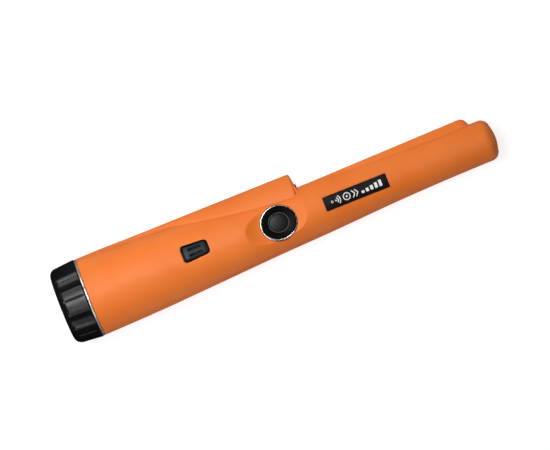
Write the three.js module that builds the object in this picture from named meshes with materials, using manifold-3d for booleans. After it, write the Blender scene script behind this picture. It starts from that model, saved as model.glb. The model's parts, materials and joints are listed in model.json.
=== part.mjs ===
// Pinpointer probe: a hand-held metal locator with a tapered round housing, a screw cap over its
// battery bay, a push button, a sounder, a vibration motor, a work light and a coil in its tip.
//
// Millimetres. In the probe's own frame X runs along its axis from the cap's outer face to the tip,
// Y points to the fin, and Z points to the button. The probe group leans a little, so that the
// housing's belly and its tip both lie on the plane Z = 0.
import * as THREE from "three";
import { mergeVertices } from "three/addons/utils/BufferGeometryUtils.js";
import Module from "manifold-3d";

const wasm = await Module();
wasm.setup();

// ---------------------------------------------------------------- driving dimensions

const GAP = 0.3; // between neighbouring pieces
const WALL = 2.4; // housing wall
const SIDES = 32; // facets round the housing, one of them flat on the table
const FAR = 400; // half-size of a block that cuts everything on one side

// Housing: radius along the axis, which falls smoothly from the mouth to the tip.
const TIP_X = 235;
const MOUTH_X = 15.5;
const TIP_START_X = 226;
const TIP_CORNER = 4;
const OUTLINE = new THREE.SplineCurve([
  new THREE.Vector2(MOUTH_X, 20.5),
  new THREE.Vector2(43, 19.6),
  new THREE.Vector2(78, 17.65),
  new THREE.Vector2(112, 15.65),
  new THREE.Vector2(143, 14.2),
  new THREE.Vector2(181, 12.05),
  new THREE.Vector2(205, 11.2),
  new THREE.Vector2(TIP_START_X, 10.75),
]);
const OUTLINE_STEPS = 17;

// Fin: half a round bar that stands out of the housing's side and ends in a step.
const FIN = { radius: 11.5, y: 9.25, startX: 24, endX: 131.75, leanDeg: 7, riseDeg: 0.2 };

// Ridge: the narrow raised strip between the step and the tip.
const RIDGE = {
  startX: 120, endX: 224.6, halfWidth: 4.6,
  crestAtStep: 13.0, crestAtEnd: 15.0, nose: 3.6,
};

// Screw cap and its neck.
const CAP = { length: 14.1, radius: 20.5, corner: 2.5, lobes: 6, lobeDeg: 36, fluteRadius: 17.2 };
const FIRST_LOBE_DEG = -3.5;
const NECK = { radius: 17.0, bore: 16.1, endX: 24 };
const CAP_FLOOR = 3;

// Push button, on the housing's crown. Its pieces are slightly oval, longer along the probe, and the
// whole button leans with the taper. Each oval is half-length along X, and half-width over half-length.
const BUTTON = { x: 117.3, z: 13, leanDeg: 2.7 };
const HOLE = { radius: 9.94, oval: 0.944 };
const TRIM = { outer: 9.62, outerOval: 0.94, inner: 9.2, innerOval: 0.915 };
const BEZEL = { outer: 8.9, outerOval: 0.91, inner: 5.35, innerOval: 0.953 };
const DISC = { radius: 5.05, oval: 0.95 };
const DISH = { floorZ: 13.0, rimZ: 17, floorRadius: 10.2, rimRadius: 20.6 };

// Sound outlet and label, both let into the housing's crown.
const OUTLET = {
  x: 73.35, y: 2.65, length: 14.3, width: 9.3, corner: 2,
  slotLength: 6.6, slotWidth: 1.1, slotY: 1.4,
};
const LABEL = { x: 159.15, length: 34, width: 7.25, thickness: 0.5 };

// Work light, in the step's end face.
const LIGHT = { y: 14, radius: 1.5, hole: 1.85, tipX: 133.0 };

// Block battery.
const BATTERY = {
  startX: 12.2, length: 46.4, width: 26.5, height: 17.5, corner: 1.8,
  studY: 6.35, studTop: 60.7,
};
const BLOCK = { startX: 61.8, endX: 65, radius: 15.2 };

// Circuit board.
const BOARD = { startX: 80, endX: 142, halfWidth: 9.5, bottomZ: 3.2, topZ: 4.8 };
const SCREW_PLACES = [[84, -7], [84, 7], [137, -7], [137, 7]];

// Vibration motor.
const MOTOR = { startX: 84, endX: 97, z: -8, radius: 3.2 };

// Search coil.
const CORE = { startX: 146.5, endX: 224, radius: 4.1 };
const BOBBIN = { bore: 4.45, tube: 5.2, flange: 7.4, flangeX: [147, 169, 192, 214], flangeLength: 2 };

// ---------------------------------------------------------------- solids

/** The manifold solid of a closed geometry; a profile may run either way round. */
function solidOf(geometry) {
  const plain = geometry.index ? geometry.toNonIndexed() : geometry.clone();
  plain.deleteAttribute("normal");
  plain.deleteAttribute("uv");
  const merged = mergeVertices(plain, 1e-4);
  const corners = merged.index.array;
  const make = (order) => {
    const triangles = [];
    for (let i = 0; i < corners.length; i += 3) {
      const [a, b, c] = order.map((k) => corners[i + k]);
      if (a !== b && b !== c && c !== a) triangles.push(a, b, c);
    }
    return new wasm.Manifold(
      new wasm.Mesh({
        numProp: 3,
        vertProperties: merged.attributes.position.array,
        triVerts: new Uint32Array(triangles),
      }),
    );
  };
  const made = make([0, 1, 2]);
  return made.volume() < 0 ? make([0, 2, 1]) : made;
}

/** The three.js geometry of a manifold solid. */
function geometryOf(solid) {
  const { numProp, numVert, vertProperties, triVerts } = solid.getMesh();
  const positions = new Float32Array(numVert * 3);
  for (let i = 0; i < numVert; i += 1) {
    positions.set(vertProperties.subarray(i * numProp, i * numProp + 3), i * 3);
  }
  const geometry = new THREE.BufferGeometry();
  geometry.setAttribute("position", new THREE.BufferAttribute(positions, 3));
  geometry.setIndex(new THREE.BufferAttribute(new Uint32Array(triVerts), 1));
  geometry.computeVertexNormals();
  return geometry;
}

const join = (...solids) => solids.reduce((a, b) => a.add(b));
const cut = (base, ...tools) => tools.reduce((a, b) => a.subtract(b), base);
const common = (a, b) => a.intersect(b);

/** A solid turned about the line Y = y, Z = z, from [x, radius] points. */
function turned(points, sides, y = 0, z = 0) {
  const profile = points.map(([x, radius]) => new THREE.Vector2(radius, x));
  const geometry = new THREE.LatheGeometry(profile, sides, Math.PI / sides);
  return solidOf(geometry.rotateZ(-Math.PI / 2).translate(0, y, z));
}

/** The geometry turned about the Z axis, from [radius, z] points. */
function lathe(points, sides) {
  const profile = points.map(([radius, z]) => new THREE.Vector2(radius, z));
  return new THREE.LatheGeometry(profile, sides, Math.PI / sides).rotateX(Math.PI / 2);
}

/** A solid turned about an upright line, from [radius, z] points. */
const upright = (points, sides, x, y = 0) => solidOf(lathe(points, sides).translate(x, y, 0));

/** A turned solid on the button's leaning axis, squeezed in Y to an oval. */
function onButtonAxis(points, sides, oval) {
  const geometry = lathe(points, sides).scale(1, oval, 1).translate(0, 0, -BUTTON.z);
  geometry.rotateY(THREE.MathUtils.degToRad(BUTTON.leanDeg));
  return solidOf(geometry.translate(BUTTON.x, 0, BUTTON.z));
}

/** A ring or disc turned about the probe's axis. */
function ring(x0, x1, inner, outer, sides) {
  if (inner === 0) return turned([[x0, 0], [x0, outer], [x1, outer], [x1, 0]], sides);
  return turned([[x0, inner], [x0, outer], [x1, outer], [x1, inner], [x0, inner]], sides);
}

/** A round bar along X. */
const bar = (x0, x1, radius, y, z, sides) =>
  turned([[x0, 0], [x0, radius], [x1, radius], [x1, 0]], sides, y, z);

/** An upright round post. */
const post = (radius, z0, z1, x, y, sides) =>
  upright([[0, z0], [radius, z0], [radius, z1], [0, z1]], sides, x, y);

/** A rectangular block between two corners. */
function block([x0, y0, z0], [x1, y1, z1]) {
  const geometry = new THREE.BoxGeometry(x1 - x0, y1 - y0, z1 - z0);
  return solidOf(geometry.translate((x0 + x1) / 2, (y0 + y1) / 2, (z0 + z1) / 2));
}

/** A rectangle with rounded corners, centred on the origin. */
function roundedRectangle(length, width, corner) {
  const shape = new THREE.Shape();
  const dx = length / 2 - corner;
  const dy = width / 2 - corner;
  const quarter = Math.PI / 2;
  [[dx, dy], [-dx, dy], [-dx, -dy], [dx, -dy]].forEach(([x, y], i) =>
    shape.absarc(x, y, corner, i * quarter, (i + 1) * quarter),
  );
  return shape;
}

/** An upright prism with a rounded rectangular outline. */
function pad(length, width, corner, x, y, z0, z1) {
  const options = { depth: z1 - z0, bevelEnabled: false, curveSegments: 4 };
  const geometry = new THREE.ExtrudeGeometry(roundedRectangle(length, width, corner), options);
  return solidOf(geometry.translate(x, y, z0));
}

/** A wire along a smooth line through the given points. */
function wire(points, radius) {
  const shape = new THREE.Shape().absarc(0, 0, radius, 0, 2 * Math.PI);
  const path = new THREE.CatmullRomCurve3(points.map((p) => new THREE.Vector3(...p)));
  const options = { extrudePath: path, steps: 4 * (points.length - 1), curveSegments: 3 };
  return solidOf(new THREE.ExtrudeGeometry(shape, options));
}

// ---------------------------------------------------------------- housing

/** The housing's outline, drawn in by an inset, as [x, radius] points from the mouth to the tip. */
function sideLine(inset) {
  return OUTLINE.getPoints(OUTLINE_STEPS).map((p) => [p.x, p.y - inset]);
}

/** The bare round housing, with its tip's rounded corner and slightly domed end. */
function roundBody(inset) {
  const points = [[MOUTH_X, 0], ...sideLine(inset)];
  const tipRadius = points[points.length - 1][1];
  const corner = TIP_CORNER - inset / 2;
  const cornerX = TIP_X - inset - 0.7 - corner;
  for (let deg = 10; deg <= 80; deg += 14) {
    const a = THREE.MathUtils.degToRad(deg);
    points.push([cornerX + corner * Math.sin(a), tipRadius - corner + corner * Math.cos(a)]);
  }
  points.push([TIP_X - inset - 0.2, tipRadius * 0.35], [TIP_X - inset, 0]);
  return turned(points, SIDES);
}

/** The block that holds everything toward the tip of the step's leaning end face. */
function beyondStep(offset) {
  const geometry = new THREE.BoxGeometry(FAR, FAR, FAR).translate(FAR / 2, 0, 0);
  geometry.rotateZ(THREE.MathUtils.degToRad(FIN.leanDeg));
  return solidOf(geometry.translate(FIN.endX + offset, LIGHT.y, 0));
}

/** The fin's bar, cut off at the step. */
function finBar(inset) {
  const length = FIN.endX - FIN.startX + 10;
  const geometry = new THREE.CylinderGeometry(FIN.radius - inset, FIN.radius - inset, length, 24);
  geometry.rotateZ(Math.PI / 2).translate(length / 2 + 2 * inset, 0, 0);
  geometry.rotateZ(THREE.MathUtils.degToRad(FIN.riseDeg));
  return cut(solidOf(geometry.translate(FIN.startX, FIN.y, 0)), beyondStep(-inset));
}

/** The ridge's side view, pushed through its width. */
function ridgeStrip() {
  const slope = (RIDGE.crestAtEnd - RIDGE.crestAtStep) / (RIDGE.endX - FIN.endX);
  const crest = (x) => RIDGE.crestAtStep + slope * (x - FIN.endX);
  const shape = new THREE.Shape();
  shape.moveTo(RIDGE.startX, 4);
  shape.lineTo(RIDGE.startX, crest(RIDGE.startX));
  shape.lineTo(RIDGE.endX - RIDGE.nose, crest(RIDGE.endX - RIDGE.nose));
  shape.absarc(RIDGE.endX - RIDGE.nose, crest(RIDGE.endX) - RIDGE.nose, RIDGE.nose, Math.PI / 2, 0, true);
  shape.lineTo(RIDGE.endX, 4);
  const options = { depth: 2 * RIDGE.halfWidth, bevelEnabled: false, curveSegments: 4 };
  return solidOf(new THREE.ExtrudeGeometry(shape, options).translate(0, 0, -RIDGE.halfWidth));
}

/** The flat land in front of the step, where the round housing would stand above the ridge's crest. */
function landCut() {
  const slope = Math.atan2(RIDGE.crestAtEnd - RIDGE.crestAtStep, RIDGE.endX - FIN.endX);
  const geometry = new THREE.BoxGeometry(60, 20, 60).translate(30, 10, 0).rotateZ(slope);
  return solidOf(geometry.translate(FIN.endX - 1.5, RIDGE.crestAtStep + 0.02, 0));
}

/** The hollow inside the housing: the mouth's seat for the seal, the tube, and the inside of the fin. */
function hollow() {
  const seatX = 18;
  const inner = sideLine(WALL).filter(([x]) => x > seatX + 4);
  const tube = turned(
    [[10, 0], [10, 19.4], [seatX, 19.4], [seatX, inner[0][1]], ...inner, [231, 5.5], [232, 0]],
    SIDES,
  );
  return join(tube, finBar(WALL));
}

/** The dish round the button: a shallow cone that only bites where the crown is higher than its floor. */
function dish() {
  const { floorZ, rimZ, floorRadius, rimRadius } = DISH;
  return onButtonAxis([[0, floorZ], [floorRadius, floorZ], [rimRadius, rimZ], [0, rimZ]], 40, 1);
}

const lampHole = () => bar(126, 134, LIGHT.hole, LIGHT.y, 0, 16);

/** Whole housing before it is split. */
function housing() {
  const skin = join(cut(roundBody(0), landCut()), finBar(0), ridgeStrip());
  return cut(skin, hollow(), lampHole());
}

const tube = housing();
const above = block([-FAR, -FAR, GAP / 2], [FAR, FAR, FAR]);
const below = block([-FAR, -FAR, -FAR], [FAR, FAR, -GAP / 2]);

function frontShell() {
  const outlet = pad(OUTLET.length, OUTLET.width, OUTLET.corner, OUTLET.x, OUTLET.y, 8, 24);
  const labelBed = cut(
    pad(LABEL.length + 2 * GAP, LABEL.width + 2 * GAP, 0.6, LABEL.x, 0, 8, 18),
    roundBody(LABEL.thickness + GAP),
  );
  const buttonHole = onButtonAxis([[0, 4], [HOLE.radius, 4], [HOLE.radius, 20], [0, 20]], 40, HOLE.oval);
  return cut(common(tube, above), dish(), buttonHole, outlet, labelBed);
}

/** The rear half carries the board's posts, the motor's cradle and two saddles under the coil. */
function rearShell() {
  const posts = SCREW_PLACES.map(([x, y]) => post(2.1, -12, BOARD.bottomZ - GAP, x, y, 12));
  const pilots = SCREW_PLACES.map(([x, y]) => post(1.1, -5, 6, x, y, 10));
  const cradle = cut(
    block([86, -4.4, -15], [94, 4.4, MOTOR.z]),
    bar(80, 100, MOTOR.radius + GAP, 0, MOTOR.z, 16),
  );
  const saddles = [158, 203].map((x) => block([x, -5, -12.5], [x + 2, 5, -BOBBIN.flange - GAP]));
  const inside = common(join(...posts, cradle, ...saddles), roundBody(WALL / 2));
  return cut(join(common(tube, below), inside), ...pilots);
}

// ---------------------------------------------------------------- cap

/** The cap's section: round crests with a hollow flute between each two. */
function lobedPrism() {
  const shape = new THREE.Shape();
  const pitch = 360 / CAP.lobes;
  const at = (deg, r) => {
    const a = THREE.MathUtils.degToRad(deg);
    return [r * Math.cos(a), r * Math.sin(a)];
  };
  for (let k = 0; k < CAP.lobes; k += 1) {
    const middle = 90 + FIRST_LOBE_DEG + k * pitch;
    const from = THREE.MathUtils.degToRad(middle - CAP.lobeDeg / 2);
    const to = THREE.MathUtils.degToRad(middle + CAP.lobeDeg / 2);
    shape.absarc(0, 0, CAP.radius, from, to);
    const next = at(middle + pitch - CAP.lobeDeg / 2, CAP.radius);
    shape.quadraticCurveTo(...at(middle + pitch / 2, CAP.fluteRadius), ...next);
  }
  const options = { depth: CAP.length, bevelEnabled: false, curveSegments: 6 };
  const geometry = new THREE.ExtrudeGeometry(shape, options);
  return solidOf(geometry.rotateY(Math.PI / 2).rotateX(Math.PI / 2));
}

function batteryCap() {
  const corner = [];
  for (let deg = 0; deg <= 90; deg += 22.5) {
    const a = THREE.MathUtils.degToRad(deg);
    corner.push([CAP.corner * (1 - Math.sin(a)), 19.8 - CAP.corner * (1 - Math.cos(a))]);
  }
  const envelope = turned([[0, 0], ...corner.reverse(), [CAP.length, 20.5], [CAP.length, 0]], 48);
  const head = common(lobedPrism(), envelope);
  const neck = ring(CAP.length - 2, NECK.endX, 0, NECK.radius, SIDES);
  return cut(join(head, neck), ring(CAP_FLOOR, NECK.endX + 1, 0, NECK.bore, SIDES));
}

/** A seal ring with a round section. */
function oRing() {
  const section = [];
  for (let k = 0; k <= 8; k += 1) {
    const a = (k * Math.PI) / 4;
    section.push([16.4 + 0.9 * Math.cos(a), 18.2 + 0.9 * Math.sin(a)]);
  }
  return turned(section, SIDES);
}

// ---------------------------------------------------------------- button, outlet, label, light

/** The bright rim: an oval collar with a rounded lip. */
function buttonTrim() {
  const { outer, outerOval, inner, innerOval } = TRIM;
  const collar = [[0, 10.5], [outer, 10.5], [outer, 13.1], [outer - 0.2, 13.4], [0, 13.4]];
  const opening = [[0, 9], [inner, 9], [inner, 13.2], [inner + 0.2, 15], [0, 15]];
  return cut(onButtonAxis(collar, 40, outerOval), onButtonAxis(opening, 40, innerOval));
}

/** The glossy ring, which falls a little towards the disc. */
function buttonBezel() {
  const { outer, outerOval, inner, innerOval } = BEZEL;
  const ringBody = [[0, 10], [outer, 10], [outer, 13.0], [outer - 0.4, 13.2], [0, 12.3]];
  const opening = [[0, 9], [inner, 9], [inner, 14], [0, 14]];
  return cut(onButtonAxis(ringBody, 40, outerOval), onButtonAxis(opening, 32, innerOval));
}

/** The pressed disc: a low dome on a flange that stays under the ring. */
function powerButton() {
  const r = DISC.radius;
  const side = [[0, 8.9], [r + 1, 8.9], [r + 1, 9.7], [r, 9.7], [r, 12.4]];
  return onButtonAxis([...side, [r - 0.35, 12.8], [2.6, 13.2], [0, 13.3]], 32, DISC.oval);
}

const switchPlunger = () => onButtonAxis([[0, 7.1], [1.7, 7.1], [1.7, 8.6], [0, 8.6]], 12, 1);

function buttonSeal() {
  const section = [[6.5, 8.9], [9.4, 8.9], [9.4, 9.7], [6.5, 9.7], [6.5, 8.9]];
  return onButtonAxis(section, 24, DISC.oval);
}

/** A piece of the housing's skin: as thick as stated, and no larger than the prism. */
const skinPiece = (prism, lift, thickness) =>
  common(cut(roundBody(-lift), roundBody(thickness - lift)), prism);

function speakerGrille() {
  const { x, y, length, width, corner, slotLength, slotWidth, slotY } = OUTLET;
  const plug = pad(length - 2 * GAP, width - 2 * GAP, corner - GAP, x, y, 8, 24);
  const slot = (side) => pad(slotLength, slotWidth, 0.5, x, y + side * slotY, 6, 26);
  return cut(skinPiece(plug, -0.25, 2.6), slot(-1), slot(1));
}

const labelPlate = () =>
  skinPiece(pad(LABEL.length, LABEL.width, 0.5, LABEL.x, 0, 8, 18), 0, LABEL.thickness);

function ledLamp() {
  const points = [[126.9, 0], [126.9, 1.5], [LIGHT.tipX - LIGHT.radius, LIGHT.radius]];
  for (let deg = 30; deg < 90; deg += 20) {
    const a = THREE.MathUtils.degToRad(deg);
    points.push([LIGHT.tipX - LIGHT.radius * (1 - Math.sin(a)), LIGHT.radius * Math.cos(a)]);
  }
  return turned([...points, [LIGHT.tipX, 0]], 16, LIGHT.y);
}

// ---------------------------------------------------------------- battery and inner parts

function battery() {
  const { startX, length, width, height, corner, studY, studTop } = BATTERY;
  const options = { depth: length, bevelEnabled: false, curveSegments: 3 };
  const geometry = new THREE.ExtrudeGeometry(roundedRectangle(height, width, corner), options);
  const body = solidOf(geometry.rotateY(Math.PI / 2).translate(startX, 0, 0));
  const top = startX + length;
  return join(body, bar(top - 1, studTop, 2.8, studY, 0, 12), bar(top - 1, studTop, 4.2, -studY, 0, 6));
}

const contact = (side) => bar(61.0, 61.5, 4, side * BATTERY.studY, 0, 12);

function circuitBoard() {
  const { startX, endX, halfWidth, bottomZ, topZ } = BOARD;
  const sheet = block([startX, -halfWidth, bottomZ], [endX, halfWidth, topZ]);
  return cut(sheet, ...SCREW_PLACES.map(([x, y]) => post(1.4, 0, 8, x, y, 10)));
}

const screw = (x, y) =>
  upright([[0, -4.5], [0.75, -3.5], [0.75, 5.1], [2.1, 5.1], [2.1, 5.9], [1.4, 6.5], [0, 6.5]], 12, x, y);

/** A part that sits on the board. */
const onBoard = (x, y, length, width, height) =>
  block(
    [x - length / 2, y - width / 2, BOARD.topZ + GAP],
    [x + length / 2, y + width / 2, BOARD.topZ + GAP + height],
  );

/** The switch stands where the button's leaning axis meets it, open on top for the plunger. */
function tactSwitch() {
  const x = BUTTON.x - 0.25;
  return cut(onBoard(x, 0, 6.2, 6.2, 2.6), post(2.1, 5.9, 12, x, 0, 12));
}

function motorWeight() {
  const disc = bar(98.6, 102.4, 3.4, 0, MOTOR.z, 16);
  const half = block([98, -5, MOTOR.z + 0.9], [103, 5, MOTOR.z + 6]);
  return cut(disc, half, bar(98, 103, 0.85, 0, MOTOR.z, 10));
}

/** The bobbin's flanged tube, as one closed outline. */
function coilBobbin() {
  const { bore, tube: tubeRadius, flange, flangeX, flangeLength } = BOBBIN;
  const last = flangeX.length - 1;
  const outline = [[flangeX[0], bore]];
  flangeX.forEach((x, i) => {
    if (i > 0) outline.push([x, tubeRadius]);
    outline.push([x, flange], [x + flangeLength, flange]);
    if (i < last) outline.push([x + flangeLength, tubeRadius]);
  });
  outline.push([flangeX[last] + flangeLength, bore], [flangeX[0], bore]);
  return turned(outline, 20);
}

/** The winding between flange i and the next. */
function winding(i, outer) {
  const { tube: tubeRadius, flangeX, flangeLength } = BOBBIN;
  return ring(flangeX[i] + flangeLength + GAP, flangeX[i + 1] - GAP, tubeRadius + GAP, outer, 20);
}

// ---------------------------------------------------------------- the assembly

const ORANGE = { color: 0xe4702a, roughness: 0.55, metalness: 0 };
const GLOSS_BLACK = { color: 0x0c0c0d, roughness: 0.22, metalness: 0 };
const SATIN_BLACK = { color: 0x1b1c1e, roughness: 0.5, metalness: 0 };
const CHROME = { color: 0xd9dadc, roughness: 0.12, metalness: 1 };
const RUBBER = { color: 0x161616, roughness: 0.8, metalness: 0 };
const FOAM = { color: 0x2b2b2d, roughness: 0.95, metalness: 0 };
const CAN = { color: 0x2d3440, roughness: 0.4, metalness: 0.3 };
const BOARD_GREEN = { color: 0x14603a, roughness: 0.5, metalness: 0 };
const CHIP = { color: 0x202124, roughness: 0.6, metalness: 0 };
const NICKEL = { color: 0xb8b4aa, roughness: 0.3, metalness: 1 };
const STEEL = { color: 0xa8abb0, roughness: 0.35, metalness: 1 };
const COPPER = { color: 0xb5652c, roughness: 0.35, metalness: 1 };
const FERRITE = { color: 0x3a3b3e, roughness: 0.7, metalness: 0.1 };
const NYLON = { color: 0xe9e6dc, roughness: 0.6, metalness: 0 };
const CLEAR = { color: 0xeef2f4, roughness: 0.08, metalness: 0 };
const LABEL_BLACK = { color: 0x101113, roughness: 0.35, metalness: 0 };
const RED_WIRE = { color: 0xb3201a, roughness: 0.5, metalness: 0 };
const BLACK_WIRE = { color: 0x141414, roughness: 0.5, metalness: 0 };

const probe = new THREE.Group();

function piece(parent, name, solid, finish) {
  const mesh = new THREE.Mesh(geometryOf(solid), new THREE.MeshStandardMaterial(finish));
  mesh.name = name;
  parent.add(mesh);
}

function section(build) {
  const group = new THREE.Group();
  build((...args) => piece(group, ...args));
  probe.add(group);
}

section((put) => {
  put("front_shell", frontShell(), ORANGE);
  put("rear_shell", rearShell(), ORANGE);
  put("label_plate", labelPlate(), LABEL_BLACK);
});

section((put) => {
  put("battery_cap", batteryCap(), GLOSS_BLACK);
  put("cap_pad", ring(CAP_FLOOR + GAP, BATTERY.startX - GAP, 0, 14, 20), FOAM);
  put("cap_trim_ring", ring(14.4, 15.2, 17.3, 20.3, 48), CHROME);
  put("cap_o_ring", oRing(), RUBBER);
});

section((put) => {
  put("power_button", powerButton(), SATIN_BLACK);
  put("switch_plunger", switchPlunger(), SATIN_BLACK);
  put("button_bezel", buttonBezel(), GLOSS_BLACK);
  put("button_trim_ring", buttonTrim(), CHROME);
  put("button_seal", buttonSeal(), RUBBER);
});

section((put) => {
  put("speaker_grille", speakerGrille(), GLOSS_BLACK);
  put("sound_membrane", post(5.5, 12.1, 12.5, OUTLET.x, OUTLET.y, 20), FOAM);
  put("piezo_buzzer", post(6, 6.6, 11.8, OUTLET.x, OUTLET.y, 20), SATIN_BLACK);
  put("led_lamp", ledLamp(), CLEAR);
  put("led_board", block([125.2, 10.6, -3], [126.6, 17, 3]), BOARD_GREEN);
});

section((put) => {
  put("battery", battery(), CAN);
  put("contact_plus", contact(1), NICKEL);
  put("contact_minus", contact(-1), NICKEL);
  put("terminal_block", ring(BLOCK.startX, BLOCK.endX, 0, BLOCK.radius, 24), SATIN_BLACK);
});

section((put) => {
  put("main_board", circuitBoard(), BOARD_GREEN);
  put("tact_switch", tactSwitch(), CHIP);
  put("microcontroller", onBoard(97, -1, 7, 7, 1.2), CHIP);
  put("amplifier_chip", onBoard(129, -3, 5, 4, 1.5), CHIP);
  put("filter_capacitor", post(2.4, BOARD.topZ + GAP, 10.5, 90, 4.5, 16), SATIN_BLACK);
  put("crystal", onBoard(105, 5, 7, 2.6, 2.4), STEEL);
  put("connector", onBoard(139, 0, 3.4, 7, 3), NYLON);
  SCREW_PLACES.forEach(([x, y], i) => put(`board_screw_${i + 1}`, screw(x, y), STEEL));
});

section((put) => {
  put("vibration_motor", bar(MOTOR.startX, MOTOR.endX, MOTOR.radius, 0, MOTOR.z, 16), STEEL);
  put("motor_shaft", bar(MOTOR.endX + GAP, 103.4, 0.5, 0, MOTOR.z, 10), STEEL);
  put("motor_weight", motorWeight(), NICKEL);
});

section((put) => {
  put("ferrite_core", ring(CORE.startX, CORE.endX, 0, CORE.radius, 20), FERRITE);
  put("coil_bobbin", coilBobbin(), NYLON);
  put("receive_coil_rear", winding(0, 6.6), COPPER);
  put("transmit_coil", winding(1, 7.0), COPPER);
  put("receive_coil_front", winding(2, 6.6), COPPER);
  put("tip_cushion", ring(CORE.endX + GAP, 228.6, 0, 6, 20), FOAM);
});

section((put) => {
  const batteryLead = (side) =>
    wire(
      [
        [65.6, 5 * side, -2], [71, 6 * side, 0], [77, 6.2 * side, 4], [80, 6 * side, 6],
        [82, 4.5 * side, 6.2],
      ],
      0.6,
    );
  put("battery_lead_plus", batteryLead(1), RED_WIRE);
  put("battery_lead_minus", batteryLead(-1), BLACK_WIRE);
  put("buzzer_lead", wire([[74, 2.5, 5.6], [78, 2, 5.6], [83, 1.5, 5.9]], 0.45), BLACK_WIRE);
  const motorRoute = [[83.4, 0, -8], [80.5, 0, -6], [79.6, 0, -1], [81.5, 0, 2.4]];
  const ledRoute = [[124.7, 12.6, 0], [122, 12.6, 1.8], [119.5, 11.2, 4.4], [117.5, 8.4, 5.9]];
  put("motor_lead", wire(motorRoute, 0.45), RED_WIRE);
  put("led_lead", wire(ledRoute, 0.45), RED_WIRE);
  put("coil_lead", wire([[146.4, 0, 6.6], [144, 0, 7.4], [141.2, 0, 6.4]], 0.5), BLACK_WIRE);
});

// The housing's belly and the tip's first corner are the two places that touch the table.
const tipContact = sideLine(0).pop();
const slopes = sideLine(0).slice(0, -1).map(([x, radius]) => (radius - tipContact[1]) / (tipContact[0] - x));
probe.rotation.y = Math.atan(Math.max(...slopes) * Math.cos(Math.PI / SIDES));

// The origin is on the table, under the middle of the probe's box.
const box = new THREE.Box3().setFromObject(probe, true);
const middle = box.getCenter(new THREE.Vector3());
probe.position.set(-middle.x, -middle.y, -box.min.z);

const group = new THREE.Group();
group.add(probe);
export default group;
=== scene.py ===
"""Pinpointer probe: the looks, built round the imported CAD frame.

Shapes are worked out in the probe's own frame, in millimetres: X runs along its axis from the
cap's outer face to the tip, Y points to the fin, Z to the button. place() turns and moves them
into the frame's metres.
"""
import json
import math
import bmesh
import bpy
import numpy as np
from mathutils import Matrix, Vector


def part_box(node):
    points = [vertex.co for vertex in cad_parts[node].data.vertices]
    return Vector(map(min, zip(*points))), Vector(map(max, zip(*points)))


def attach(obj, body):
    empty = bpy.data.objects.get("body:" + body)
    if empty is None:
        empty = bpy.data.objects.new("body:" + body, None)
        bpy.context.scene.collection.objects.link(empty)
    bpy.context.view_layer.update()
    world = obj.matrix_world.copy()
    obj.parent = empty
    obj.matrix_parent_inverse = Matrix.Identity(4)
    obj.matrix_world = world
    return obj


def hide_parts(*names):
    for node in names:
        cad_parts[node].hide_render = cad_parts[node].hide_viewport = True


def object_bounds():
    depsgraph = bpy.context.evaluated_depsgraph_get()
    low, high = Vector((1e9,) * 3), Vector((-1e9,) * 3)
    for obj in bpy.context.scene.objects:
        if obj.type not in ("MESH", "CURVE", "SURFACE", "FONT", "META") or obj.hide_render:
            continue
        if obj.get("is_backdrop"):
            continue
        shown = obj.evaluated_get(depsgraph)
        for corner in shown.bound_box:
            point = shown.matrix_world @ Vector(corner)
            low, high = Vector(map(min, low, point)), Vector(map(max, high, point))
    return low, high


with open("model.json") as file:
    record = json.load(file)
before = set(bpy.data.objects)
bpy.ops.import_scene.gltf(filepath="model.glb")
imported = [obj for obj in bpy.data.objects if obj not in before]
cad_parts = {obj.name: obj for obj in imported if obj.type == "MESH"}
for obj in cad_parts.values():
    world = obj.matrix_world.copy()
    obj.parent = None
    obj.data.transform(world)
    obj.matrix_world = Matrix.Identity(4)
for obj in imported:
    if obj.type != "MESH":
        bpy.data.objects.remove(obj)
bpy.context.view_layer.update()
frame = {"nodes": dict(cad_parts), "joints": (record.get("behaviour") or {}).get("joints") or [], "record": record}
MM = 0.001

# ---------------------------------------------------------------- the probe's own frame

JOINTS = {j["name"]: j for j in frame["joints"]}
CAP_HINGE_X = 7.0  # where the cap's hinge point lies along the probe


def probe_matrix():
    """From the probe's millimetres to the frame's metres."""
    along = -Vector(JOINTS["cap_turn"]["axis"]).normalized()
    across = Vector((0, 1, 0))
    up = along.cross(across)
    origin = Vector(JOINTS["cap_turn"]["pos_m"]) - along * CAP_HINGE_X * MM
    turn = Matrix((along, across, up)).transposed().to_4x4()
    return Matrix.Translation(origin) @ turn @ Matrix.Scale(MM, 4)


PROBE = probe_matrix()

# Sizes and places, in millimetres. Most are the CAD part's own.

# the housing
TIP_X = 235.2
MOUTH_X = 15.5
TIP_START_X = 226.0
TIP_CORNER = 4.6
TIP_DOME = 1.0
TIP_WALL = 3.2
WALL = 2.4
SEAM = 0.07  # half the gap between the two halves
SEAM_CLOSES = (210, 221)  # the gap fades out between these places, before the tip
TONGUE_SPAN = (26, 222)  # the strip inside the seam: clear of the cap's neck, and up to the tip
BODY_RADII = [
    (15.5, 20.5), (43, 19.57), (78, 17.62), (112, 15.62), (143, 14.17), (181, 12.02), (205, 11.17),
    (226, 10.75),
]

# the fin: a round bar that grows out of the body and ends in a leaning face
FIN_CREST, FIN_RISE = 20.68, 0.0035  # height over the axis at the mouth, and its rise per millimetre
FIN_BAR, FIN_BAR_LEAST = 11.45, 3.0
FIN_BAR_START_X, FIN_BAR_GROWTH = 62, 12
FIN_CORNER = 1.1
FIN_SOFT_X, FIN_SHARP_X = 30, (52, 72)  # it leaves the body softly from the first place to the second span
FIN_CREASE_X = (58, 80)  # the line along its foot sets in over this span
STEP_X = 131.75  # where the end face crosses the height of the work light
STEP_LEAN = math.tan(math.radians(7))
LIGHT_Y = 14.0
LENS_BACK_X, LENS_DOME_X, LENS_RADIUS = 126.9, 131.1, 1.5

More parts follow.
